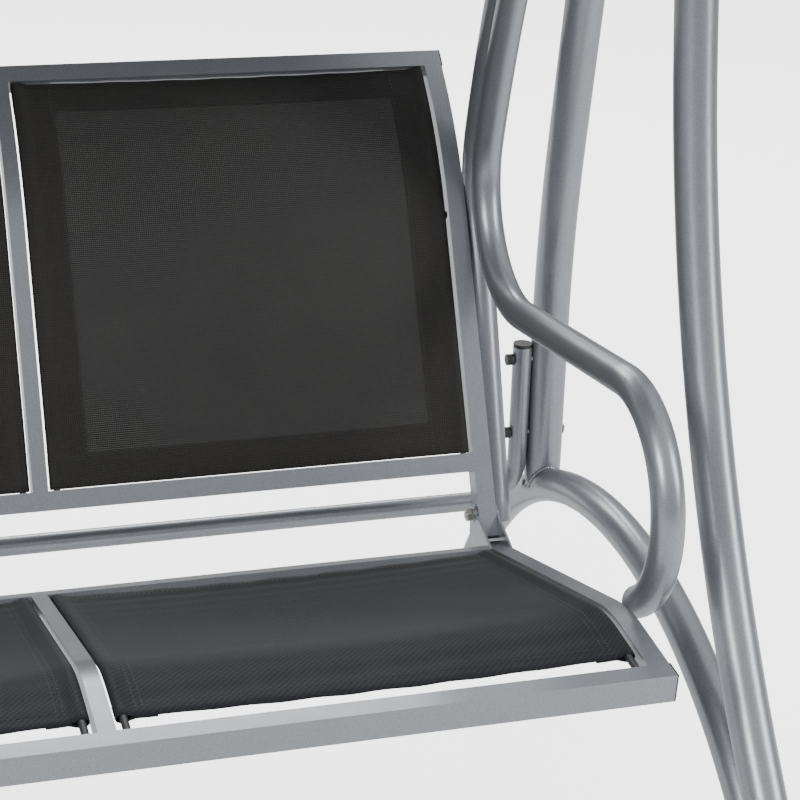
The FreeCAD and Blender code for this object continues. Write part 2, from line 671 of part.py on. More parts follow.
rail_plane = "(Sizes.seat_half_width - Sizes.rail_width / 2)"
lower_bolt_at = step(step(back_foot, 90 - size.back_lean, -14), -size.back_lean,
                     size.back_depth * 0.62)
upper_bolt_at = step(step(back_foot, 90 - size.back_lean, size.back_straight - 2), -size.back_lean,
                     size.back_depth / 2)
seat_dividers = []
end_plugs = []
for side_name, side in SIDES:
    plane = f"{side} * {rail_plane}"
    trail = seat_trail(size.side_rail_height / 2, size.rear_run + size.rail_overrun,
                       size.front_run - size.rail_width)
    keep(f"{side_name}_seat_rail", box_tube(f"{side_name}_seat_tube", SIDE_PLANE, plane, trail,
         "Sizes.rail_width", "Sizes.side_rail_height", "Sizes.seat_wall"))
    divider_plane = f"{side} * (Sizes.seat_half_width - Sizes.seat_panel_pitch)"
    trail = seat_trail(size.divider_height / 2, size.rear_run - size.rail_width,
                       size.front_run - size.rail_width)
    seat_dividers.append(box_tube(f"{side_name}_seat_bar", SIDE_PLANE, divider_plane, trail,
                                  "Sizes.divider_width", "Sizes.divider_height",
                                  "Sizes.seat_wall"))

    cap = outline_body(f"{side_name}_front_plug", "YZ_Plane",
                       f"{side} * Sizes.seat_half_width - {0 if side > 0 else 1.5}", "1.5",
                       polygon(slab(front_corner, forward + 180, size.rail_width,
                                    size.front_rail_height)))
    end_plugs.append(cap)
keep("seat_dividers", group("seat_dividers", seat_dividers))

# ---------------------------------------------------------------- back frame

top_rail_low = back_length - size.back_rail_height
bottom_rail_low = size.back_bottom_rise
bottom_rail_high = bottom_rail_low + size.back_rail_height
rail_heading = 90 - size.back_lean
bottom_start = step(back_foot, rail_heading, bottom_rail_low)
keep("back_bottom_rail", cross_tube("back_bottom_tube", inner_half, bottom_start, rail_heading,
                                    size.back_rail_height, size.back_depth, size.back_wall))
top_edge = back_trail(0, 0, top_rail_low)
keep("back_top_rail", cross_tube("back_top_tube", half, top_edge.at, top_edge.heading,
                                 size.back_rail_height, size.back_depth, size.back_wall))
back_dividers = []
back_bolts = []
back_nuts = []
back_brackets = []
web_start = step(step(crest, backward, size.rear_run + size.rail_overrun), backward - 90, 9)
web_length = 34
ear_reach = 20


def bracket_ear(name, side, low_x, reach):
    """One upright ear beside the back rail's foot: round about the bolt, wide at its root."""
    rim = 11
    bolt = lower_bolt_at
    root_front = step(crest, backward, size.rear_run - size.rail_width + 2)
    low_front = step(root_front, backward - 90, size.side_rail_height * 0.8)
    low_rear = step(step(web_start, backward, web_length), backward - 90, size.bracket_thickness)
    low_middle = step(web_start, backward - 90, size.bracket_thickness)
    front_side = step(bolt, 180 - size.back_lean, rim)
    rear_side = step(bolt, -size.back_lean, rim)
    crown = step(bolt, 90 - size.back_lean, rim)
    shoulder = step(low_rear, 75, reach)
    corners = [rear_side] + ([shoulder] if reach else []) + [low_rear, low_middle, low_front,
                                                            root_front, front_side]
    outline = [Part.Arc(*(Vector(*spot, 0) for spot in (front_side, crown, rear_side)))]
    outline += [Part.LineSegment(Vector(*a, 0), Vector(*b, 0))
                for a, b in zip(corners[:-1], corners[1:])]
    base = low_x if side > 0 else -low_x - size.bracket_thickness
    return outline_body(name, "YZ_Plane", f"{base}", "Sizes.bracket_thickness", outline)


for side_name, side in SIDES:
    plane = f"{side} * {rail_plane}"
    low_x, high_x = sorted((side * (size.seat_half_width - size.rail_width - 12),
                            side * (size.seat_half_width + size.arm_diameter + 12)))
    bolt_hole = size.bolt_diameter + BOLT_PLAY
    lower_hole = through_hole(f"{side_name}_lower_pivot_hole", *lower_bolt_at, bolt_hole,
                              low_x, high_x)
    upper_hole = through_hole(f"{side_name}_upper_back_hole", *upper_bolt_at, bolt_hole,
                              low_x, high_x)
    trail = back_trail(size.back_depth / 2, -size.back_tail, top_rail_low)
    rail = box_tube(f"{side_name}_back_tube", SIDE_PLANE, plane, trail,
                    "Sizes.rail_width", "Sizes.back_depth", "Sizes.back_wall")
    keep(f"{side_name}_back_rail", cut(f"{side_name}_back_rail", rail, lower_hole, upper_hole))
    divider_plane = f"{side} * (Sizes.seat_half_width - Sizes.back_panel_pitch)"
    trail = back_trail(size.back_depth / 2, bottom_rail_high, top_rail_low)
    back_dividers.append(box_tube(f"{side_name}_back_bar", SIDE_PLANE, divider_plane, trail,
                                  "Sizes.divider_width", "Sizes.back_depth", "Sizes.back_wall"))

    plug_start = step(back_foot, rail_heading, -size.back_tail)
    plug_plane = f"{side} * {rail_plane} - Sizes.rail_width / 2"
    end_plugs.append(outline_body(f"{side_name}_back_plug", "YZ_Plane", plug_plane,
                                  "Sizes.rail_width",
                                  polygon(slab(plug_start, rail_heading, -3, size.back_depth))))
    cap_plane = f"{side} * Sizes.seat_half_width - {0 if side > 0 else 1.5}"
    end_plugs.append(outline_body(f"{side_name}_top_plug", "YZ_Plane", cap_plane, "1.5",
                                  polygon(slab(top_edge.at, top_edge.heading,
                                               size.back_rail_height, size.back_depth))))

    arm_plane = f"{side} * (Sizes.seat_half_width + Sizes.arm_diameter / 2 + 0.1)"
    arm = tube(f"{side_name}_arm_bent", SIDE_PLANE, arm_plane, arm_trail,
               "Sizes.arm_diameter", "Sizes.arm_wall")
    keep(f"{side_name}_arm_tube", arm)
    hanger = tube(f"{side_name}_hanger_bent", SIDE_PLANE, arm_plane, rear_trail_start,
                  "Sizes.arm_diameter", "Sizes.arm_wall")
    keep(f"{side_name}_rear_hanger", cut(f"{side_name}_rear_hanger", hanger, lower_hole,
                                         upper_hole))

    hanger_space = rod(f"{side_name}_hanger_space", SIDE_PLANE, arm_plane, rear_trail_start,
                       "Sizes.arm_diameter")

    inner_face = size.seat_half_width - size.rail_width
    ear = size.bracket_thickness
    inward = Vector(-side, 0, 0)
    web_low = inner_face - EAR_GAP - ear
    web_high = size.seat_half_width + EAR_GAP + ear
    inner_ear = bracket_ear(f"{side_name}_inner_ear", side, web_low, 0)
    outer_ear = bracket_ear(f"{side_name}_outer_ear", side, web_high - ear, ear_reach)
    web = outline_body(f"{side_name}_bracket_web", "YZ_Plane",
                       f"{web_low if side > 0 else -web_high}", f"{web_high - web_low}",
                       polygon(slab(web_start, backward, web_length, ear)))
    bracket = fuse(f"{side_name}_bracket_u", inner_ear, outer_ear, web)
    back_brackets.append(cut(f"{side_name}_back_bracket", bracket, lower_hole, hanger_space))

    lower_grip = web_high - web_low
    pieces = (("lower", lower_bolt_at, web_high, lower_grip + 9, web_low),
              ("upper", upper_bolt_at, size.seat_half_width + size.arm_diameter + 0.1,
               size.arm_diameter + 14, None))
    for tag, point, start_x, length, nut_x in pieces:
        name = f"{side_name}_{tag}_back_bolt"
        at = Vector(side * (start_x + 0.1), *point)
        back_bolts.append(dome_bolt(name, "Sizes.bolt_diameter", at, inward, length, 14))
        if nut_x is None:
            continue
        nut_at = Vector(side * (nut_x - 0.1), *point)
        flange = cylinder(name + "_nut_flange", "17", "1.5", nut_at, inward)
        hexagon = doc.addObject("Part::Prism", name + "_nut_hex")
        hexagon.Polygon = 6
        hexagon.Circumradius = 7.5
        hexagon.Height = 6
        hexagon.Placement = Placement(nut_at + inward * 1.5, Rotation(Vector(0, 0, 1), inward))
        bore = cylinder(name + "_nut_bore", "Sizes.bolt_diameter + 0.1", "20", nut_at - inward,
                        inward)
        back_nuts.append(cut(name + "_nut", fuse(name + "_nut_body", flange, hexagon), bore))

keep("back_dividers", group("back_dividers", back_dividers))
keep("back_pivot_brackets", group("back_pivot_brackets", back_brackets))
keep("frame_end_plugs", group("frame_end_plugs", end_plugs))
keep("back_bolts", group("back_bolts", back_bolts))
keep("back_flange_nuts", group("back_flange_nuts", back_nuts))

# ---------------------------------------------------------------- slings and their rods

def panel_spans(pitch):
    """The clear width of each of the three bays, by name."""
    low = size.seat_half_width - pitch + size.divider_width / 2
    high = size.seat_half_width - size.rail_width
    middle = size.seat_half_width - pitch - size.divider_width / 2
    return {"right": (low, high), "middle": (-middle, middle), "left": (-high, -low)}


rod_inset = size.rod_gap + size.rod_diameter / 2
sling_inset = size.rod_gap + size.rod_diameter + size.sling_clearance
seat_rods = []
back_rods = []
seat_depth = size.rod_diameter / 2 + 1
back_depth = size.rod_diameter / 2 + 2
seat_ends = (size.rear_run - size.rail_width, size.front_run - size.rail_width)
back_ends = (bottom_rail_high, top_rail_low)
seat_sheet_ends = (seat_ends[0] - size.sling_rEAR_GAP, seat_ends[1] - size.sling_front_gap)
back_sheet_ends = (back_ends[0] + size.back_sling_gap, back_ends[1] - size.back_sling_gap)
BAYS = (("seat", size.seat_panel_pitch, seat_trail, seat_depth, seat_ends, seat_sheet_ends,
         seat_rods),
        ("back", size.back_panel_pitch, back_trail, back_depth, back_ends, back_sheet_ends,
         back_rods))
for frame_name, pitch, trail_at, depth, ends, sheet_ends, rods in BAYS:
    for panel, (low, high) in panel_spans(pitch).items():
        for end, x in (("low", low + rod_inset), ("high", high - rod_inset)):
            rods.append(rod(f"{panel}_{end}_{frame_name}_rod", SIDE_PLANE, f"{x}",
                            trail_at(depth, *ends), "Sizes.rod_diameter"))
        label = f"{panel}_{frame_name}_sling"
        keep(label, flat_bar(f"{label}_sheet", SIDE_PLANE, f"{(low + high) / 2}",
                             trail_at(depth, *sheet_ends), f"{high - low - 2 * sling_inset}",
                             "Sizes.sling_thickness"))
keep("seat_sling_rods", group("seat_sling_rods", seat_rods))
keep("back_sling_rods", group("back_sling_rods", back_rods))

# ---------------------------------------------------------------- hanger plates

hanger_plates = []
for side_name, side in SIDES:
    base_low = f"{side} * (Sizes.seat_half_width + Sizes.arm_diameter / 2) - Sizes.arm_diameter / 2"
    base_start = step(hanger_top, top_heading + 90, size.arm_diameter / 2)
    foot_plate = outline_body(f"{side_name}_hanger_foot", "YZ_Plane", base_low,
                              "Sizes.arm_diameter",
                              polygon(slab(base_start, top_heading, 4,
                                           size.arm_diameter + hanger_pitch)))
    middle = step(base_start, top_heading - 90, (size.arm_diameter + hanger_pitch) / 2)
    rim = size.eye_hole / 2 + size.eye_rim
    eye = (size.bow_y, lower_eye_height)
    lean = math.degrees(math.atan2(eye[1] - middle[1], eye[0] - middle[0]))
    edge_a = step(eye, lean + 90, rim)
    edge_b = step(eye, lean - 90, rim)
    tip = step(eye, lean, rim)
    root_a = step(step(base_start, top_heading, 2), top_heading - 90, 8)
    root_b = step(root_a, top_heading - 90, size.arm_diameter + hanger_pitch - 16)
    outline = [Part.Arc(Vector(*edge_a, 0), Vector(*tip, 0), Vector(*edge_b, 0)),
               Part.LineSegment(Vector(*edge_b, 0), Vector(*root_b, 0)),
               Part.LineSegment(Vector(*root_b, 0), Vector(*root_a, 0)),
               Part.LineSegment(Vector(*root_a, 0), Vector(*edge_a, 0)),
               Part.Circle(Vector(*eye, 0), Vector(0, 0, 1), size.eye_hole / 2)]
    eye_plane = f"{side} * (Sizes.seat_half_width + Sizes.arm_diameter / 2) - Sizes.eye_thickness / 2"
    upright = outline_body(f"{side_name}_hanger_eye", "YZ_Plane", eye_plane,
                           "Sizes.eye_thickness", outline)
    hanger_plates.append(fuse(f"{side_name}_hanger_plate", foot_plate, upright))
keep("hanger_plates", group("hanger_plates", hanger_plates))

# ---------------------------------------------------------------- canopy

pivot = (size.bow_y, bow_apex + size.canopy_pivot_rise)
canopy_crest = pivot[1] + size.canopy_crest_rise
half_depth = size.canopy_depth / 2
tube_half = size.canopy_tube / 2
side_plane_x = (size.canopy_half_width - size.canopy_sheet - size.canopy_sheet_gap - tube_half)
arc_centre = (size.bow_y, canopy_crest - size.canopy_arc_radius)
sheet_top_radius = (size.canopy_arc_radius + tube_half + size.canopy_sheet_gap
                    + size.canopy_sheet)
end_reach = half_depth - size.canopy_sheet - size.canopy_sheet_gap - tube_half
end_angle = math.degrees(math.asin(end_reach / size.canopy_arc_radius))
side_tube_trail = Trail(step(arc_centre, 90 - end_angle, size.canopy_arc_radius),
                        180 - end_angle)
side_tube_trail.arc(size.canopy_arc_radius, 2 * end_angle)

canopy_spaces = []
canopy_lugs = []
pivot_bolts = []
for side_name, side in SIDES:
    plane = f"{side * side_plane_x}"
    side_tube = tube(f"{side_name}_canopy_tube", SIDE_PLANE, plane, side_tube_trail,
                     "Sizes.canopy_tube", "Sizes.canopy_tube_wall")
    space = rod(f"{side_name}_canopy_space", SIDE_PLANE, plane, side_tube_trail,
                "Sizes.canopy_tube")
    canopy_spaces.append(space)
    tab_x = side_plane_x - 6
    tab_thickness = 4
    tab_low = side * tab_x - tab_thickness / 2
    tab_outline = eye_outline(pivot[0], pivot[1], canopy_crest, 14, size.bolt_diameter + 0.1, 44)
    # The tongue's round end points down, so its root is above the hole.
    tab = outline_body(f"{side_name}_tab_plate", "YZ_Plane", f"{tab_low}", f"{tab_thickness}",
                       tab_outline)
    tab = cut(f"{side_name}_canopy_tab", tab, space)
    keep(f"{side_name}_canopy_side_tube", fuse(f"{side_name}_canopy_side", side_tube, tab))

    lug_gap = 0.4
    lug_x = tab_x - tab_thickness / 2 - lug_gap - size.lug_thickness / 2
    lug_low = side * lug_x - size.lug_thickness / 2
    lug_outline = eye_outline(pivot[0], pivot[1], bow_apex, size.lug_width / 2,
                              size.bolt_diameter + BOLT_PLAY + 0.2, size.crossbar_diameter * 0.9)
    lug = outline_body(f"{side_name}_lug_plate", "YZ_Plane", f"{lug_low}", "Sizes.lug_thickness",
                       lug_outline)
    canopy_lugs.append(cut(f"{side_name}_canopy_lug", lug, bar_space))

    inward = Vector(-side, 0, 0)
    head_at = Vector(side * (tab_x + tab_thickness / 2 + 0.1), *pivot)
    lug_face = lug_x - size.lug_thickness / 2
    bolt_reach = tab_x + tab_thickness / 2 - lug_face + size.knob_depth * 0.6
    pivot_bolts.append(dome_bolt(f"{side_name}_pivot_bolt", "Sizes.bolt_diameter", head_at, inward,
                                 bolt_reach, 14))
    knob_at = Vector(side * (lug_face - lug_gap), *pivot)
    body = cylinder(f"{side_name}_knob_body", "Sizes.knob_diameter * 0.72", "Sizes.knob_depth",
                    knob_at, inward)
    lobes = []
    for k in range(5):
        angle = 90 + 72 * k
        spot = step(pivot, angle, size.knob_diameter * 0.34)
        lobes.append(cylinder(f"{side_name}_knob_lobe{k}", "Sizes.knob_diameter * 0.32",
                              "Sizes.knob_depth * 0.6",
                              Vector(knob_at.x - side * size.knob_depth * 0.4, *spot), inward))
    knob_bore = cylinder(f"{side_name}_knob_bore", "Sizes.bolt_diameter + 0.3",
                         "Sizes.knob_depth * 0.75", knob_at, inward)
    solid = fuse(f"{side_name}_knob_solid", body, *lobes)
    keep(f"{side_name}_canopy_knob", cut(f"{side_name}_canopy_knob", solid, knob_bore))
keep("canopy_lugs", group("canopy_lugs", canopy_lugs))
keep("canopy_pivot_bolts", group("canopy_pivot_bolts", pivot_bolts))

cross_tubes = []
for tag, angle in (("front", -end_angle), ("middle", 0.45 * end_angle), ("rear", end_angle)):
    spot = step(arc_centre, 90 - angle, size.canopy_arc_radius)
    at = Vector(-side_plane_x, *spot)
    outer = cylinder(f"canopy_{tag}_outer", "Sizes.canopy_tube", f"{2 * side_plane_x}", at)
    inner = cylinder(f"canopy_{tag}_inner", "Sizes.canopy_tube - 2 * Sizes.canopy_tube_wall",
                     f"{2 * side_plane_x}", at)
    cross_tubes.append(cut(f"canopy_{tag}_tube", outer, inner, *canopy_spaces))
keep("canopy_cross_tubes", group("canopy_cross_tubes", cross_tubes))


def canopy_shell(radius, reach, drop):
    """Side outline of the canopy: an arc above, upright ends and the same arc lower down."""
    angle = math.degrees(math.asin(reach / radius))
    front_top = step(arc_centre, 90 + angle, radius)
    rear_top = step(arc_centre, 90 - angle, radius)
    crown = step(arc_centre, 90, radius)
    front_low = (front_top[0], front_top[1] - drop)
    rear_low = (rear_top[0], rear_top[1] - drop)
    middle_low = (crown[0], crown[1] - drop)
    return [Part.Arc(Vector(*front_top, 0), Vector(*crown, 0), Vector(*rear_top, 0)),
            Part.LineSegment(Vector(*rear_top, 0), Vector(*rear_low, 0)),
            Part.Arc(Vector(*rear_low, 0), Vector(*middle_low, 0), Vector(*front_low, 0)),
            Part.LineSegment(Vector(*front_low, 0), Vector(*front_top, 0))]


outer_shell = outline_body("canopy_outer", "YZ_Plane", "-Sizes.canopy_half_width",
                           "2 * Sizes.canopy_half_width",
                           canopy_shell(sheet_top_radius, half_depth, size.canopy_valance))
inner_shell = outline_body("canopy_hollow", "YZ_Plane",
                           "-Sizes.canopy_half_width + Sizes.canopy_sheet",
                           "2 * (Sizes.canopy_half_width - Sizes.canopy_sheet)",
                           canopy_shell(sheet_top_radius - size.canopy_sheet,
                                        half_depth - size.canopy_sheet,
                                        size.canopy_valance + 60))
keep("canopy_cover", cut("canopy_cover", outer_shell, inner_shell))

# ---------------------------------------------------------------- output

doc.recompute()
for feature in doc.Objects:
    if "Invalid" in feature.State or "Error" in feature.State:
        raise RuntimeError(f"{feature.Name} did not build: {feature.State}")
for label, feature in nodes.items():
    if feature.Shape.isNull() or not feature.Shape.isValid():
        raise RuntimeError(f"{label} has no valid shape")

os.makedirs("parts", exist_ok=True)
for label, feature in nodes.items():
    feature.Shape.exportStep(f"parts/{label}.step")
    print(f"{label}: {len(feature.Shape.Solids)} solids, {feature.Shape.Volume / 1000:.1f} cm3")
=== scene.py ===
import json
import math
import random
import bpy
from mathutils import Matrix, Vector


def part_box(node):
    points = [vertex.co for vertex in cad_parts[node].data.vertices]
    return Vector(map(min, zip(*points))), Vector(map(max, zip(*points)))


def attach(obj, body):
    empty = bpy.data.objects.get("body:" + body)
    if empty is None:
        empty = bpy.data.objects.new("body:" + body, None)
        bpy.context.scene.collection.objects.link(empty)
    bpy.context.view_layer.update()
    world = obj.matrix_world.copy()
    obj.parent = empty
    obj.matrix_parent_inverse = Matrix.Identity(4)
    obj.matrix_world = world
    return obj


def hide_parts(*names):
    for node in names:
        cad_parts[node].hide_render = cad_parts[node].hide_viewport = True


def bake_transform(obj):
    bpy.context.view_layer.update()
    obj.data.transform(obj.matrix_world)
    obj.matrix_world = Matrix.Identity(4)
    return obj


# The looks of the canopy swing bench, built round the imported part. Metres, in the part's frame:
# +X is the sitter's left, +Y is behind the bench, +Z is up.

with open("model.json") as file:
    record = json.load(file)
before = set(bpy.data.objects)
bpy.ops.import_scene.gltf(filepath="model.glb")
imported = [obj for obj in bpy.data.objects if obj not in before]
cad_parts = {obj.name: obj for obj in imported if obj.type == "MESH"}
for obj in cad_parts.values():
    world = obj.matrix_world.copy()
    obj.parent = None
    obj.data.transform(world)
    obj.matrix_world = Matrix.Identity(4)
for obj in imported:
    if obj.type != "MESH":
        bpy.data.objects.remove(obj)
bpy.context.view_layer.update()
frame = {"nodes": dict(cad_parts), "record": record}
random.seed(7)

HANG_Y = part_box("crossbar_eyes")[0].y / 2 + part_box("crossbar_eyes")[1].y / 2
HANGER_X = 0.767
SIDES = (("right", 1), ("left", -1))

# ---------------------------------------------------------------- materials


class Shader:
    """Short names for building a node material."""
    def __init__(self, name):
        self.material = bpy.data.materials.new(name)
        self.material.use_nodes = True
        self.tree = self.material.node_tree
        self.bsdf = self.tree.nodes["Principled BSDF"]

    def node(self, kind, **values):
        made = self.tree.nodes.new("ShaderNode" + kind)
        for key, value in values.items():
            if key in made.inputs:
                made.inputs[key].default_value = value
            else:
                setattr(made, key, value)
        return made

    def link(self, output, target):
        self.tree.links.new(output, target)

    def noise(self, where, scale, detail=2.0, roughness=0.5):
        made = self.node("TexNoise")
        made.inputs["Scale"].default_value = scale
        made.inputs["Detail"].default_value = detail
        made.inputs["Roughness"].default_value = roughness
        self.link(where, made.inputs["Vector"])
        return made.outputs["Fac"]

    def remap(self, value, low, high, from_low=0.0, from_high=1.0):
        made = self.node("MapRange")
        made.inputs["From Min"].default_value = from_low
        made.inputs["From Max"].default_value = from_high
        made.inputs["To Min"].default_value = low
        made.inputs["To Max"].default_value = high
        self.link(value, made.inputs["Value"])
        return made.outputs["Result"]

    def math(self, operation, a, b):
        made = self.node("Math", operation=operation)
        for socket, value in zip(made.inputs, (a, b)):
            if isinstance(value, (int, float)):
                socket.default_value = value
            else:
                self.link(value, socket)
        return made.outputs[0]

    def mix(self, factor, dark, light):
        made = self.node("Mix", data_type="RGBA")
        self.link(factor, made.inputs["Factor"])
        for name, colour in (("A", dark), ("B", light)):
            socket = [s for s in made.inputs if s.name == name and s.type == "RGBA"][0]
            if isinstance(colour, tuple):
                socket.default_value = (*colour, 1)
            else:
                self.link(colour, socket)
        return [s for s in made.outputs if s.type == "RGBA"][0]

    def bump(self, height, strength, distance):
        made = self.node("Bump")
        made.inputs["Strength"].default_value = strength
        made.inputs["Distance"].default_value = distance
        self.link(height, made.inputs["Height"])
        self.link(made.outputs["Normal"], self.bsdf.inputs["Normal"])

    def set(self, **values):
        for key, value in values.items():
            self.bsdf.inputs[key.replace("_", " ")].default_value = value


def painted_steel():
    """Silver-grey metallic powder coat: fine flake, slight orange peel and faint handling marks."""
    s = Shader("silver_powder_coat")
    where = s.node("TexCoord").outputs["Object"]
    flake = s.noise(where, 1400, 1)
    cloud = s.noise(where, 5, 2)
    marks = s.noise(where, 38, 5, 0.65)
    tone = s.mix(s.remap(flake, 0, 1, 0.3, 0.7), (0.2, 0.212, 0.235), (0.31, 0.325, 0.352))
    aged = s.mix(s.remap(cloud, 0, 0.16, 0.4, 0.75), tone, (0.225, 0.23, 0.242))
    s.link(aged, s.bsdf.inputs["Base Color"])
    rough = s.math("ADD", s.remap(marks, 0.30, 0.36, 0.35, 0.75), s.remap(cloud, 0, 0.04))
    s.link(rough, s.bsdf.inputs["Roughness"])
    s.set(Metallic=0.62, Coat_Weight=0.3, Coat_Roughness=0.16)
    s.bump(s.math("ADD", s.noise(where, 240, 2), s.math("MULTIPLY", flake, 0.3)), 0.03, 0.0004)
    return s.material


def plated_steel(name, colour, rough):
    s = Shader(name)
    where = s.node("TexCoord").outputs["Object"]
    cloud = s.noise(where, 90, 4, 0.6)
    dark = tuple(0.72 * c for c in colour)
    s.link(s.mix(s.remap(cloud, 0, 1, 0.3, 0.75), dark, colour), s.bsdf.inputs["Base Color"])
    s.link(s.remap(s.noise(where, 400, 3), rough - 0.08, rough + 0.14), s.bsdf.inputs["Roughness"])
    s.set(Metallic=1.0)
    s.bump(s.noise(where, 900, 2), 0.08, 0.0003)
    return s.material


def moulded(name, colour, rough, grain):
    """Black plastic or rubber with a moulded grain and a little dust."""
    s = Shader(name)
    where = s.node("TexCoord").outputs["Object"]
    dust = s.noise(where, 30, 5, 0.65)
    light = tuple(c * 2.2 + 0.01 for c in colour)
    s.link(s.mix(s.remap(dust, 0, 0.8, 0.45, 0.8), colour, light), s.bsdf.inputs["Base Color"])
    s.link(s.remap(s.noise(where, 700, 2), rough - 0.08, rough + 0.1), s.bsdf.inputs["Roughness"])
    s.bump(s.noise(where, grain, 3), 0.25, 0.0004)
    return s.material


def woven(name, dark, light, pitch, holes, twill, rough=0.6, sheen=0.25, streak=0.25):
    """Coated yarns crossing at a pitch, read from UVs in metres; holes is how open the mesh is."""
    s = Shader(name)
    where = s.node("UVMap").outputs["UV"]
    wave_scale = math.pi / (10 * pitch)

    def yarn(direction, scale, distortion):
        made = s.node("TexWave", wave_type="BANDS", bands_direction=direction)
        made.inputs["Scale"].default_value = scale
        made.inputs["Distortion"].default_value = distortion
        made.inputs["Detail"].default_value = 2
        made.inputs["Detail Scale"].default_value = 0.6
        s.link(where, made.inputs["Vector"])
        return made.outputs["Fac"]

    warp = yarn("X", wave_scale, 0.5)
    weft = yarn("Y", wave_scale, 0.5)
    weave = s.math("MAXIMUM", s.math("MULTIPLY", warp, 0.85), weft)
    if twill:
        diagonal = yarn("DIAGONAL", wave_scale * 0.7, 0.4)
        weave = s.math("ADD", s.math("MULTIPLY", weave, 0.55), s.math("MULTIPLY", diagonal, 0.45))
    stretch = s.node("Mapping")
    stretch.inputs["Scale"].default_value = (60, 900, 1)
    s.link(where, stretch.inputs["Vector"])
    slub = s.noise(stretch.outputs["Vector"], 1, 3, 0.6)
    stretch_up = s.node("Mapping")
    stretch_up.inputs["Scale"].default_value = (900, 60, 1)
    s.link(where, stretch_up.inputs["Vector"])
    slub_up = s.noise(stretch_up.outputs["Vector"], 1, 3, 0.6)
    cloud = s.noise(where, 9, 3)
    tone = s.mix(s.remap(weave, 0.1, 0.95), dark, light)
    tone = s.mix(s.remap(s.math("ADD", slub, slub_up), 0, streak, 0.8, 1.3), tone,
                 tuple(min(1, 1.9 * c) for c in light))
    tone = s.mix(s.remap(cloud, 0, 0.2, 0.35, 0.75), tone, dark)
    s.link(tone, s.bsdf.inputs["Base Color"])
    s.link(s.remap(weave, rough + 0.1, rough - 0.08), s.bsdf.inputs["Roughness"])
    if holes:
        s.link(s.remap(weave, 1 - 0.25 * holes, 1.0, 0.15, 0.75), s.bsdf.inputs["Alpha"])
    s.set(Sheen_Weight=sheen, Sheen_Roughness=0.45, Specular_IOR_Level=0.22)
    s.bump(weave, 0.5, 0.0005)
    return s.material


def thread(name, colour):
    s = Shader(name)
    where = s.node("TexCoord").outputs["Object"]
    dark = tuple(0.5 * c for c in colour)
    s.link(s.mix(s.noise(where, 1500, 2), dark, colour), s.bsdf.inputs["Base Color"])
    s.set(Roughness=0.55, Sheen_Weight=0.2)
    s.bump(s.noise(where, 2500, 1), 0.3, 0.0002)
    return s.material


def weld_metal():
    s = Shader("painted_weld")
    where = s.node("TexCoord").outputs["Object"]
    s.link(s.mix(s.noise(where, 300, 4), (0.24, 0.25, 0.27), (0.36, 0.375, 0.4)),
           s.bsdf.inputs["Base Color"])
    s.link(s.remap(s.noise(where, 500, 3), 0.3, 0.5), s.bsdf.inputs["Roughness"])
    s.set(Metallic=0.78)
    s.bump(s.noise(where, 700, 3), 0.2, 0.0006)
    return s.material


PAINT = painted_steel()
ZINC = plated_steel("zinc_plate", (0.62, 0.61, 0.57), 0.34)
SPRING = plated_steel("spring_wire", (0.52, 0.53, 0.55), 0.28)
PLASTIC = moulded("black_plastic", (0.014, 0.014, 0.015), 0.48, 900)
RUBBER = moulded("black_rubber", (0.018, 0.018, 0.018), 0.72, 350)
WELD = weld_metal()
THREAD = thread("black_thread", (0.008, 0.008, 0.009))
SEAT_CLOTH = woven("seat_mesh", (0.002, 0.0022, 0.003), (0.0115, 0.0125, 0.0165), 0.0022, 0.0,
                   True, 0.62, 0.06)
BACK_CLOTH = woven("back_mesh", (0.005, 0.0049, 0.0048), (0.025, 0.0235, 0.022), 0.0022, 0.6,
                   False, 0.68, 0.05)
CANOPY_CLOTH = woven("canopy_cloth", (0.016, 0.017, 0.02), (0.04, 0.042, 0.048), 0.0016, 0.0,
                     False, 0.68, 0.15, 0.12)
BINDING = woven("canopy_tape", (0.01, 0.011, 0.013), (0.028, 0.03, 0.034), 0.0012, 0.0, True,
                0.65, 0.1)

FINISH = {"frame_steel": PAINT, "zinc_steel": ZINC, "spring_steel": SPRING,
          "black_plastic": PLASTIC, "black_rubber": RUBBER, "seat_sling": SEAT_CLOTH,
          "back_sling": BACK_CLOTH, "canopy_fabric": CANOPY_CLOTH}
for entry in frame["record"]["subparts"]:
    shown = frame["nodes"][entry["node"]]
    for place in shown.material_slots:
        place.material = FINISH[entry["material_slot"]]


# ---------------------------------------------------------------- mesh helpers

def make_object(name, vertices, faces, material, smooth=True, uvs=None):
    mesh = bpy.data.meshes.new(name)
    mesh.from_pydata([tuple(v) for v in vertices], [], faces)
    mesh.materials.append(material)
    if uvs is not None:
        layer = mesh.uv_layers.new(name="UVMap")
        for loop in mesh.loops:
            layer.data[loop.index].uv = uvs[loop.vertex_index]
    mesh.polygons.foreach_set("use_smooth", [smooth] * len(mesh.polygons))
    mesh.update()
    made = bpy.data.objects.new(name, mesh)
    bpy.context.scene.collection.objects.link(made)
    return made


def apply_modifiers(piece):
    bpy.context.view_layer.update()
    depsgraph = bpy.context.evaluated_depsgraph_get()
    final = bpy.data.meshes.new_from_object(piece.evaluated_get(depsgraph))
    piece.modifiers.clear()
    piece.data = final
    return piece


def thicken(piece, thickness, offset=0.0):
    solid = piece.modifiers.new("cloth_thickness", "SOLIDIFY")
    solid.thickness = thickness
    solid.offset = offset
    return apply_modifiers(piece)


def grid_faces(rows, columns, closed=False):
    faces = []
    for i in range(rows - 1):
        for j in range(columns - (0 if closed else 1)):
            k = (j + 1) % columns
            faces.append((i * columns + j, i * columns + k, (i + 1) * columns + k,
                          (i + 1) * columns + j))
    return faces


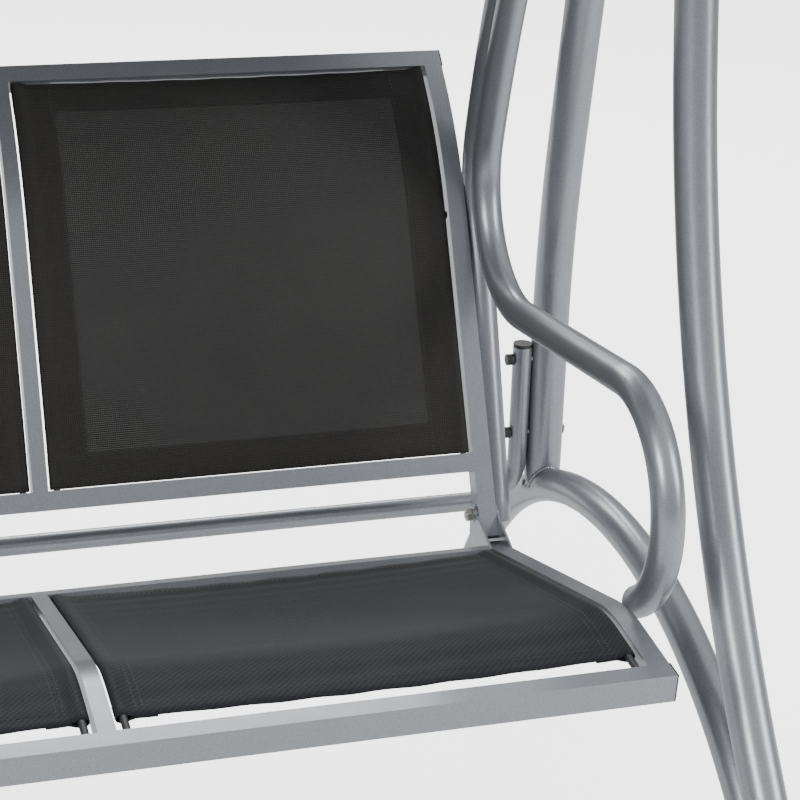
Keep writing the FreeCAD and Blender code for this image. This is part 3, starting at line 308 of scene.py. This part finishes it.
def tube_along(points, radii, sides=10):
    """Vertices and faces of a closed tube through points; radii may vary along it."""
    vertices = []
    last_side = None
    for i, point in enumerate(points):
        ahead = points[min(i + 1, len(points) - 1)] - points[max(i - 1, 0)]
        ahead.normalize()
        if last_side is None:
            last_side = ahead.orthogonal().normalized()
        side = (last_side - ahead * last_side.dot(ahead)).normalized()
        last_side = side
        other = ahead.cross(side)
        for k in range(sides):
            angle = 2 * math.pi * k / sides
            vertices.append(point + (side * math.cos(angle) + other * math.sin(angle)) * radii[i])
    faces = grid_faces(len(points), sides, closed=True)
    faces.append(tuple(reversed(range(sides))))
    faces.append(tuple(range(len(vertices) - sides, len(vertices))))
    return vertices, faces


class Batch:
    """Collects many small pieces into one object."""
    def __init__(self):
        self.vertices = []
        self.faces = []

    def add(self, vertices, faces):
        base = len(self.vertices)
        self.vertices += [Vector(v) for v in vertices]
        self.faces += [tuple(base + i for i in face) for face in faces]

    def make(self, name, material):
        return make_object(name, self.vertices, self.faces, material)


def stitch(batch, middle, along, normal, length=0.0034, width=0.00075, rise=0.0005):
    """One raised thread between two needle holes."""
    across = along.cross(normal)
    for_ends = ((-0.5, 0.0), (-0.28, 1.0), (0.28, 1.0), (0.5, 0.0))
    vertices = []
    for share, height in for_ends:
        centre = middle + along * (length * share)
        vertices.append(centre - across * width - normal * rise)
        vertices.append(centre + normal * rise * height)
        vertices.append(centre + across * width - normal * rise)
    faces = []
    for i in range(3):
        for k in range(3):
            a, b = 3 * i + k, 3 * i + (k + 1) % 3
            faces.append((a, b, b + 3, a + 3))
    faces += [(0, 2, 1), (9, 10, 11)]
    batch.add(vertices, faces)


# ---------------------------------------------------------------- paths shared with the part

def heading_vector(angle):
    return Vector((0, math.cos(math.radians(angle)), math.sin(math.radians(angle))))


class Path:
    """A flat path in the YZ plane, sampled by distance: gives a point and a heading."""
    def __init__(self, start, heading):
        self.pieces = []
        self.at = Vector(start)
        self.heading = heading
        self.length = 0.0

    def line(self, length):
        self.pieces.append((self.length, length, self.at.copy(), self.heading, 0.0))
        self.at = self.at + heading_vector(self.heading) * length
        self.length += length
        return self

    def arc(self, radius, turn):
        length = radius * math.radians(abs(turn))
        self.pieces.append((self.length, length, self.at.copy(), self.heading, turn))
        chord = 2 * radius * math.sin(math.radians(abs(turn)) / 2)
        self.at = self.at + heading_vector(self.heading + turn / 2) * chord
        self.heading += turn
        self.length += length
        return self

    def __call__(self, distance):
        piece = self.pieces[0]
        for candidate in self.pieces:
            if distance >= candidate[0]:
                piece = candidate
        first, length, at, heading, turn = piece
        run = distance - first
        if not turn or run > length:
            if turn:
                raise ValueError("beyond the path")
            return at + heading_vector(heading) * run, heading
        angle = turn * run / length
        radius = length / math.radians(abs(turn))
        chord = 2 * radius * math.sin(math.radians(abs(angle)) / 2)
        return at + heading_vector(heading + angle / 2) * chord, heading + angle


RAIL = 0.020
DIVIDER = 0.016
HALF = 0.751
ROD_RADIUS = 0.0035
ROD_INSET = 0.006 + ROD_RADIUS

CREST = Vector((0, -0.2375, 0.450))
FRONT_SLOPE, REAR_SLOPE, CREST_BEND = 5.8, 15.1, 0.160
SEAT_DEPTH = ROD_RADIUS + 0.001
SEAT_BEHIND = 0.352 - RAIL - 0.0022
SEAT_AHEAD = 0.116 - RAIL - 0.024


def seat_path():
    heading = 180 - REAR_SLOPE
    turn = FRONT_SLOPE + REAR_SLOPE
    reach = CREST_BEND * math.tan(math.radians(turn / 2))
    start = CREST + heading_vector(heading + 180) * SEAT_BEHIND
    start += heading_vector(heading + 90) * SEAT_DEPTH
    path = Path(start, heading).line(SEAT_BEHIND - reach)
    return path.arc(CREST_BEND - SEAT_DEPTH, turn).line(SEAT_AHEAD - reach)


BACK_FOOT = Vector((0, 0.1385, 0.395))
BACK_LEAN, BACK_TOP_LEAN, BACK_STRAIGHT, BACK_BEND = 25.4, 47.4, 0.319, 0.420
BACK_DEPTH = ROD_RADIUS + 0.002
BACK_LOW = 0.033 + 0.020 + 0.0022
BACK_TIP = 0.034 - 0.020 - 0.0022


def back_path():
    heading = 90 - BACK_LEAN
    start = BACK_FOOT + heading_vector(heading) * BACK_LOW
    start += heading_vector(heading - 90) * BACK_DEPTH
    path = Path(start, heading).line(BACK_STRAIGHT - BACK_LOW)
    return path.arc(BACK_BEND - BACK_DEPTH, BACK_LEAN - BACK_TOP_LEAN).line(BACK_TIP)


# ---------------------------------------------------------------- slings

WRAP = ROD_RADIUS + 0.0009
SLACK = 0.0022
CLOTH = 0.0008


def spans(pitch):
    low = HALF - pitch + DIVIDER / 2
    middle = HALF - pitch - DIVIDER / 2
    return {"right": (low, HALF - RAIL), "middle": (-middle, middle), "left": (-(HALF - RAIL), -low)}


class Sling:
    """A cloth panel held between two rods, with a pocket round each rod and a hem at each end."""
    def __init__(self, path, up_side, low, high, sag, side_hem, end_hem):
        self.path = path
        self.up_side = up_side
        self.left = low + ROD_INSET
        self.right = high - ROD_INSET
        self.sag = sag
        self.side_hem = side_hem
        self.end_hem = end_hem

    def dip(self, x, s):
        """How far the cloth sinks under its own pull, with faint tension ripples near its ends."""
        u = (x - self.left) / (self.right - self.left)
        v = s / self.path.length
        inside = max(0.0, 4 * u * (1 - u))
        depth = self.sag * inside * (0.55 + 0.45 * 4 * v * (1 - v))
        near_end = math.exp(-min(v, 1 - v) * 9)
        ripple = 0.0007 * math.sin(26 * v * math.pi + 3 * u) * min(1, 6 * inside) * near_end
        fan = 0.0006 * math.sin(15 * (u + 0.4 * v) * math.pi) * near_end * inside
        return depth + ripple + fan

    def place(self, x, rise, s):
        end = min(max(s, 0.0), self.path.length)
        at, heading = self.path(end)
        up = heading_vector(heading + self.up_side)
        at = at + heading_vector(heading) * (s - end)
        point = at + up * (rise - self.dip(min(max(x, self.left), self.right), end))
        return Vector((x, point.y, point.z)), up, heading_vector(heading)

    def profile(self):
        """The section across the panel as (x, rise, developed width) from hem edge to hem edge."""
        pocket = 0.011
        level = 0.0012
        under = -0.0006
        def one_side(edge, sign):
            spots = []
            for k in range(5):
                spots.append((edge + sign * (self.side_hem - (self.side_hem - pocket) * k / 4), under))
            for k in range(9):
                angle = math.radians(-55 - 250 * k / 8)
                outward = SLACK * max(0.0, -math.cos(angle))
                spots.append((edge + sign * (WRAP * math.cos(angle) - outward),
                              WRAP * math.sin(angle)))
            spots.append((edge + sign * pocket * 0.75, WRAP * 0.45))
            spots.append((edge + sign * pocket, level))
            return spots
        first = one_side(self.left, 1)
        last = one_side(self.right, -1)[::-1]
        inner_low, inner_high = self.left + 0.011, self.right - 0.011
        count = 44
        flat = [(inner_low + (inner_high - inner_low) * k / count, level) for k in range(1, count)]
        spots = first + flat + last
        developed = [0.0]
        for a, b in zip(spots[:-1], spots[1:]):
            developed.append(developed[-1] + math.hypot(b[0] - a[0], b[1] - a[1]))
        return spots, developed

    def stations(self):
        """Stops along the panel as (s, lowering, developed length), folded under at both ends."""
        length = self.path.length
        hem = self.end_hem
        fold = 0.0017
        under = [(hem - hem * k / 4, fold) for k in range(5)]
        stops = under + [(-0.0007, fold * 0.8), (-0.0009, fold * 0.4)]
        count = 64
        stops += [(length * k / count, 0.0) for k in range(count + 1)]
        stops += [(length + 0.0009, fold * 0.4), (length + 0.0007, fold * 0.8)]
        stops += [(length - s, low) for s, low in reversed(under)]
        developed = [0.0]
        for a, b in zip(stops[:-1], stops[1:]):
            developed.append(developed[-1] + math.hypot(b[0] - a[0], b[1] - a[1]))
        return stops, developed

    def build(self, name, material):
        spots, widths = self.profile()
        stops, lengths = self.stations()
        vertices = []
        uvs = []
        for (s, lowered), v in zip(stops, lengths):
            for (x, rise), u in zip(spots, widths):
                vertices.append(self.place(x, rise - lowered, s)[0])
                uvs.append((u, v))
        cloth = make_object(name, vertices, grid_faces(len(stops), len(spots)), material, uvs=uvs)
        self.flat = (widths[-1], lengths[-1])
        return thicken(cloth, CLOTH)

    def sew(self, name, rows_side, rows_end):
        """Rows of stitches inside the side pockets and along the end hems."""
        batch = Batch()
        pace = 0.0048
        lift = 0.0012 + CLOTH / 2
        length = self.path.length
        for inset in rows_side:
            for x in (self.left + inset, self.right - inset):
                for k in range(int((length - 0.006) / pace)):
                    middle, up, ahead = self.place(x, lift, 0.004 + pace * k)
                    stitch(batch, middle, ahead, up)
        for inset in rows_end:
            for s in (inset, length - inset):
                width = self.right - self.left - 0.024
                for k in range(int(width / pace)):
                    middle, up, ahead = self.place(self.left + 0.012 + pace * k, lift, s)
                    stitch(batch, middle, Vector((1, 0, 0)), up)
        return batch.make(name, THREAD)


FRAMES = (
    ("seat", seat_path, -90, 0.505, 0.006, 0.030, 0.018, SEAT_CLOTH, (0.013, 0.019), (0.015,)),
    ("back", back_path, 90, 0.490, 0.005, 0.036, 0.034, BACK_CLOTH, (0.033,), (0.031,)),
)
for kind, path_of, up_side, pitch, sag, side_hem, end_hem, cloth_look, side_rows, end_rows in FRAMES:
    for panel, (low, high) in spans(pitch).items():
        sling = Sling(path_of(), up_side, low, high, sag, side_hem, end_hem)
        cloth = sling.build(f"{panel}_{kind}_cloth", cloth_look)
        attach(cloth, "bench")
        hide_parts(f"{panel}_{kind}_sling")
        seam = sling.sew(f"{panel}_{kind}_stitching", side_rows, end_rows)
        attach(seam, "bench")

# ---------------------------------------------------------------- springs

coil_low, coil_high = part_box("right_spring_coil")
WIRE = 0.0025
COIL_RADIUS = (coil_high.x - coil_low.x) / 2 - WIRE
TURNS = 17
for side_name, side in SIDES:
    steps = TURNS * 36
    points = []
    for k in range(steps + 1):
        angle = 2 * math.pi * k / 36
        rise = (coil_high.z - WIRE) - (coil_high.z - coil_low.z - 2 * WIRE) * k / steps
        points.append(Vector((side * HANGER_X + COIL_RADIUS * math.cos(angle),
                              HANG_Y + COIL_RADIUS * math.sin(angle), rise)))
    coil = make_object(f"{side_name}_coil_wire", *tube_along(points, [WIRE] * len(points)), SPRING)
    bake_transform(coil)
    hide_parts(f"{side_name}_spring_coil")

# ---------------------------------------------------------------- canopy

cover_low, cover_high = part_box("canopy_cover")
ROOF_RADIUS = 1.513
BOW_APEX = 1.4
ROOF_CENTRE_Z = cover_high.z - ROOF_RADIUS
VALANCE = 0.085
HALF_WIDTH = cover_high.x
HALF_DEPTH = (cover_high.y - cover_low.y) / 2
ROOF_ANGLE = math.asin(HALF_DEPTH / ROOF_RADIUS)
TUBE_ANGLE = math.asin((HALF_DEPTH - 0.013) / 1.5)
BAR_ANGLES = (-TUBE_ANGLE, 0.45 * TUBE_ANGLE, TUBE_ANGLE)
EDGE = 0.007


def roof_point(x, angle, lower=0.0):
    """A point of the cover's roof: bars hold it up and it sinks a little between them."""
    low_bar = max([b for b in BAR_ANGLES if b <= angle], default=BAR_ANGLES[0])
    high_bar = min([b for b in BAR_ANGLES if b > angle], default=BAR_ANGLES[-1])
    share = (angle - low_bar) / (high_bar - low_bar) if high_bar > low_bar else 0.0
    across = max(0.0, 1 - (x / (HALF_WIDTH - 0.02)) ** 2) ** 0.7
    dip = 0.011 * across * max(0.0, math.sin(math.pi * min(max(share, 0), 1)))
    ripple = 0.0012 * across * math.sin(9 * x + 40 * angle) * math.sin(math.pi * min(max(share, 0), 1))
    radius = ROOF_RADIUS - 0.0006 - dip + ripple - lower
    return Vector((x, HANG_Y + radius * math.sin(angle), ROOF_CENTRE_Z + radius * math.cos(angle)))


roof_columns, roof_rows = 97, 61
half_x = HALF_WIDTH - EDGE
half_angle = ROOF_ANGLE - EDGE / ROOF_RADIUS
vertices = []
uvs = []
for i in range(roof_rows):
    angle = -half_angle + 2 * half_angle * i / (roof_rows - 1)
    for j in range(roof_columns):
        x = -half_x + 2 * half_x * j / (roof_columns - 1)
        vertices.append(roof_point(x, angle))
        uvs.append((x, ROOF_RADIUS * angle))
faces = grid_faces(roof_rows, roof_columns)
rim = ([(0, j) for j in range(roof_columns)]
       + [(i, roof_columns - 1) for i in range(1, roof_rows)]
       + [(roof_rows - 1, j) for j in range(roof_columns - 2, -1, -1)]
       + [(i, 0) for i in range(roof_rows - 2, 0, -1)])
last_ring = [i * roof_columns + j for i, j in rim]
drops = (0.0016, EDGE, 0.022, 0.04, 0.06, VALANCE - 0.001)
perimeter = [0.0]
for a, b in zip(last_ring[:-1], last_ring[1:]):
    perimeter.append(perimeter[-1] + (vertices[a] - vertices[b]).length)
hem_line = []
for number, drop in enumerate(drops):
    ring = []
    for order, (i, j) in enumerate(rim):
        base = vertices[i * roof_columns + j]
        out_x = (j == roof_columns - 1) - (j == 0)
        out_y = (i == roof_rows - 1) - (i == 0)
        reach = EDGE * 0.72 if number == 0 else EDGE + 0.003
        wave = 0.0 if number < 2 else 0.0016 * (drop / VALANCE) * (1 + math.sin(perimeter[order] * 31))
        spot = base + Vector((out_x * (reach + wave), out_y * (reach + wave), -drop))
        ring.append(len(vertices))
        vertices.append(spot)
        uvs.append((perimeter[order], 2 + drop))
        if number == len(drops) - 1:
            hem_line.append(spot)
    for k in range(len(rim)):
        m = (k + 1) % len(rim)
        faces.append((last_ring[m], last_ring[k], ring[k], ring[m]))
    last_ring = ring
canopy = make_object("canopy_cloth", vertices, faces, CANOPY_CLOTH, uvs=uvs)
thicken(canopy, 0.0012, -1.0)

hem_path = hem_line + hem_line[:2]
binding = make_object("canopy_binding", *tube_along(hem_path, [0.0028] * len(hem_path), 8), BINDING)
seams = Batch()
for x in (-HALF_WIDTH / 3, HALF_WIDTH / 3):
    for shift in (-0.006, 0.006):
        for k in range(190):
            angle = -half_angle + 2 * half_angle * (k + 0.5) / 190
            middle = roof_point(x + shift, angle, -0.0004)
            stitch(seams, middle, Vector((0, math.cos(angle), -math.sin(angle))),
                   Vector((0, math.sin(angle), math.cos(angle))))
seam_rows = seams.make("canopy_stitching", THREAD)
folds = Batch()
for x in (-HALF_WIDTH / 3, HALF_WIDTH / 3):
    strip = []
    count = 60
    for k in range(count + 1):
        angle = -half_angle + 2 * half_angle * k / count
        for shift, lift in ((-0.011, 0.0), (-0.009, 0.0009), (0.009, 0.0009), (0.011, 0.0)):
            strip.append(roof_point(x + shift, angle, -lift))
    folds.add(strip, grid_faces(count + 1, 4))
fold_strips = folds.make("canopy_seam_folds", BINDING)
for piece in (canopy, binding, seam_rows, fold_strips):
    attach(piece, "canopy")
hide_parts("canopy_cover")

# ---------------------------------------------------------------- weld beads

LEG_X = 0.861


def bead(batch, points, radius, closed):
    """A rippled weld along points."""
    dense = []
    loop = points + points[:1] if closed else points
    for a, b in zip(loop[:-1], loop[1:]):
        count = max(1, int((b - a).length / 0.0016))
        dense += [a + (b - a) * k / count for k in range(count)]
    dense.append(loop[-1])
    radii = [radius * (1 + 0.22 * math.sin(k * 2.1)) for k in range(len(dense))]
    batch.add(*tube_along(dense, radii, 8))


def saddle(start, axis, radius, other_start, other_axis, other_radius):
    """Where a round tube that ends on another meets its surface; both lie in one plane x = const."""
    across = Vector((1, 0, 0))
    side = axis.cross(across).normalized()
    spots = []
    for k in range(36):
        angle = 2 * math.pi * k / 36
        spoke = side * math.cos(angle) + across * math.sin(angle)
        ray = start + spoke * radius
        gap = ray - other_start
        d = axis - other_axis * axis.dot(other_axis)
        g = gap - other_axis * gap.dot(other_axis)
        a, b, c = d.dot(d), 2 * d.dot(g), g.dot(g) - other_radius ** 2
        root = math.sqrt(max(b * b - 4 * a * c, 0))
        spots.append(ray + axis * ((-b - root) / (2 * a)))
    return spots


ARCH_Y, ARCH_RADIUS, ARCH_APEX = 0.056, 0.525, 0.391
REAR_LEG_Y = 0.284
for side_name, side in SIDES:
    x = side * LEG_X
    welds = Batch()
    centre = Vector((x, ARCH_Y, ARCH_APEX - ARCH_RADIUS))
    spoke = math.asin((REAR_LEG_Y - ARCH_Y) / ARCH_RADIUS)
    under_leg = centre + Vector((0, math.sin(spoke), math.cos(spoke))) * ARCH_RADIUS
    along_arch = Vector((0, math.cos(spoke), -math.sin(spoke)))
    bead(welds, saddle(Vector((x, REAR_LEG_Y, 0.45)), Vector((0, 0, -1)), 0.0212, under_leg,
                       along_arch, 0.0192), 0.0021, True)
    bar_y, bar_z = HANG_Y, BOW_APEX
    for sign in (-1, 1):
        eye_x = side * HANGER_X + sign * 0.0026
        spots = [Vector((eye_x, bar_y + 0.0212 * math.sin(a), bar_z - 0.0212 * math.cos(a)))
                 for a in [math.radians(-36 + 9 * k) for k in range(9)]]
        bead(welds, spots, 0.0015, False)
    joined = welds.make(f"{side_name}_stand_welds", WELD)
    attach(joined, "stand")

# ---------------------------------------------------------------- floor, light and camera

FLOOR_HALF = 9
FLOOR_GLOW = 2.6

floor_shader = Shader("pale_floor")
floor_where = floor_shader.node("TexCoord").outputs["Object"]
floor_shader.link(floor_shader.mix(floor_shader.noise(floor_where, 3, 4), (0.93, 0.93, 0.93),
                                   (0.96, 0.96, 0.96)), floor_shader.bsdf.inputs["Base Color"])
floor_shader.set(Roughness=0.75, Emission_Color=(1, 1, 1, 1))
seen = floor_shader.node("LightPath").outputs["Is Camera Ray"]
floor_shader.link(floor_shader.math("MULTIPLY", seen, FLOOR_GLOW),
                  floor_shader.bsdf.inputs["Emission Strength"])
floor = make_object("studio_floor", [(x * FLOOR_HALF, y * FLOOR_HALF, 0)
                                     for x, y in ((-1, -1), (1, -1), (1, 1), (-1, 1))],
                    [(0, 1, 2, 3)], floor_shader.material)

world = bpy.context.scene.world or bpy.data.worlds.new("studio")
bpy.context.scene.world = world
world.use_nodes = True
sky_tree = world.node_tree
sky = sky_tree.nodes["Background"]
sky.inputs["Strength"].default_value = 1.0
direction = sky_tree.nodes.new("ShaderNodeTexCoord")
split = sky_tree.nodes.new("ShaderNodeSeparateXYZ")
ramp = sky_tree.nodes.new("ShaderNodeValToRGB")
ramp.color_ramp.elements[0].position = 0.0
ramp.color_ramp.elements[0].color = (0.2, 0.205, 0.215, 1)
ramp.color_ramp.elements[1].position = 0.75
ramp.color_ramp.elements[1].color = (1.0, 1.0, 1.0, 1)
sky_tree.links.new(direction.outputs["Generated"], split.inputs["Vector"])
sky_tree.links.new(split.outputs["Z"], ramp.inputs["Fac"])
sky_tree.links.new(ramp.outputs["Color"], sky.inputs["Color"])


def soft_light(name, place, target, width, height, power):
    data = bpy.data.lights.new(name, "AREA")
    data.shape = "RECTANGLE"
    data.size = width
    data.size_y = height
    data.energy = power
    lamp = bpy.data.objects.new(name, data)
    bpy.context.scene.collection.objects.link(lamp)
    lamp.location = place
    lamp.rotation_euler = (Vector(target) - Vector(place)).to_track_quat("-Z", "Y").to_euler()


soft_light("key_light", (-3.2, -3.0, 3.4), (0, 0, 0.6), 2.0, 2.0, 190)
soft_light("fill_light", (3.6, -2.2, 2.2), (0.3, 0, 0.6), 1.2, 2.2, 90)
soft_light("rear_light", (0.5, 3.6, 3.0), (0, 0, 0.7), 3.0, 1.4, 110)

camera_data = bpy.data.cameras.new("photo_camera")
camera_data.lens = 98.97
camera_data.sensor_width = 36
camera = bpy.data.objects.new("photo_camera", camera_data)
bpy.context.scene.collection.objects.link(camera)
right = Vector((0.9574, -0.2872, 0.0288)).normalized()
back = Vector((-0.2775, -0.8886, 0.3652)).normalized()
up = back.cross(right)
turn = Matrix((right, up, back)).transposed().to_4x4()
camera.matrix_world = Matrix.Translation((-0.0061, -1.9265, 1.3699)) @ turn
bpy.context.scene.camera = camera
